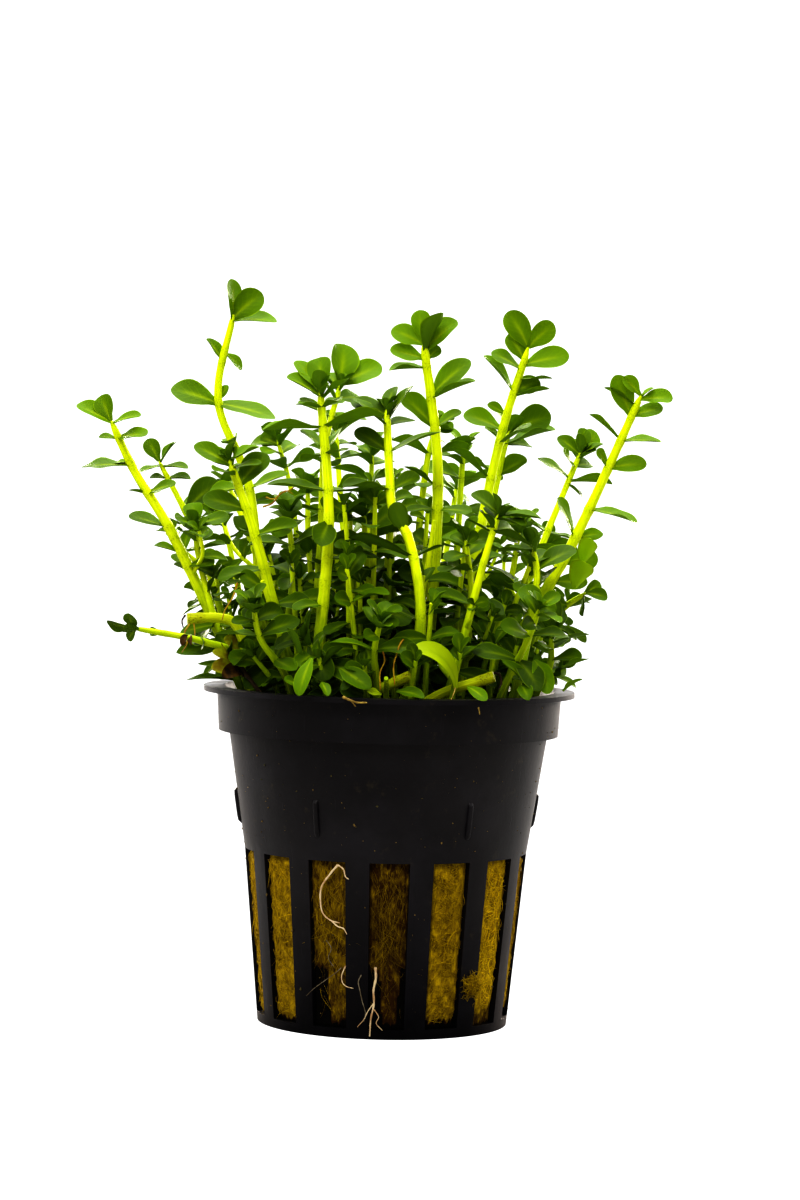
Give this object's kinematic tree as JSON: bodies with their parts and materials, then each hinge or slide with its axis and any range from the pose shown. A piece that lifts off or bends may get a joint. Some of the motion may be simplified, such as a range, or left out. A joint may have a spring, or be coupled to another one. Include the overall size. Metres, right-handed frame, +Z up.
{
  "type": "potted aquarium stem plant",
  "caption": "Bushy green stem plant with small paired leaves, growing from a rockwool plug in a slotted black net pot.",
  "frame": {"origin": "centre of the pot's flat underside", "axes": "+Z up along the pot's axis, -Y towards the side that the picture shows, +X to its right"},
  "size_m": [0.0869, 0.0648, 0.1095],
  "materials": {
    "pot_plastic": "satin black, moulded",
    "rockwool": "matt mustard fibre",
    "green_leaf": "satin leaf green",
    "cut_stem": "satin yellow green"
  },
  "bodies": {
    "root": {"cut_stem_centre": "cut_stem", "cut_stem_left": "cut_stem", "cut_stem_right": "cut_stem", "pot": "pot_plastic", "rockwool_plug": "rockwool", "shoot_back_centre": "green_leaf", "shoot_back_left_far": "green_leaf", "shoot_back_left_small": "green_leaf", "shoot_back_left_tall": "green_leaf", "shoot_back_low": "green_leaf", "shoot_back_low_left": "green_leaf", "shoot_back_low_right": "green_leaf", "shoot_back_right_far": "green_leaf", "shoot_back_right_tall": "green_leaf", "shoot_back_thin_right": "green_leaf", "shoot_behind_centre_tall": "green_leaf", "shoot_beside_centre_left": "green_leaf", "shoot_centre_front": "green_leaf", "shoot_centre_left": "green_leaf", "shoot_centre_tall": "green_leaf", "shoot_front_centre_low": "green_leaf", "shoot_front_left_corner": "green_leaf", "shoot_front_low": "green_leaf", "shoot_front_right_corner": "green_leaf", "shoot_left_front": "green_leaf", "shoot_left_low": "green_leaf", "shoot_left_outer": "green_leaf", "shoot_left_second": "green_leaf", "shoot_left_small": "green_leaf", "shoot_left_thin": "green_leaf", "shoot_mid_back": "green_leaf", "shoot_mid_far_right": "green_leaf", "shoot_mid_front": "green_leaf", "shoot_mid_left": "green_leaf", "shoot_mid_right": "green_leaf", "shoot_right_behind": "green_leaf", "shoot_right_front": "green_leaf", "shoot_right_front_small": "green_leaf", "shoot_right_inner": "green_leaf", "shoot_right_low": "green_leaf", "shoot_right_outer": "green_leaf", "shoot_right_rim": "green_leaf", "shoot_right_tall": "green_leaf", "shoot_tallest": "green_leaf"}
  },
  "joints": []
}
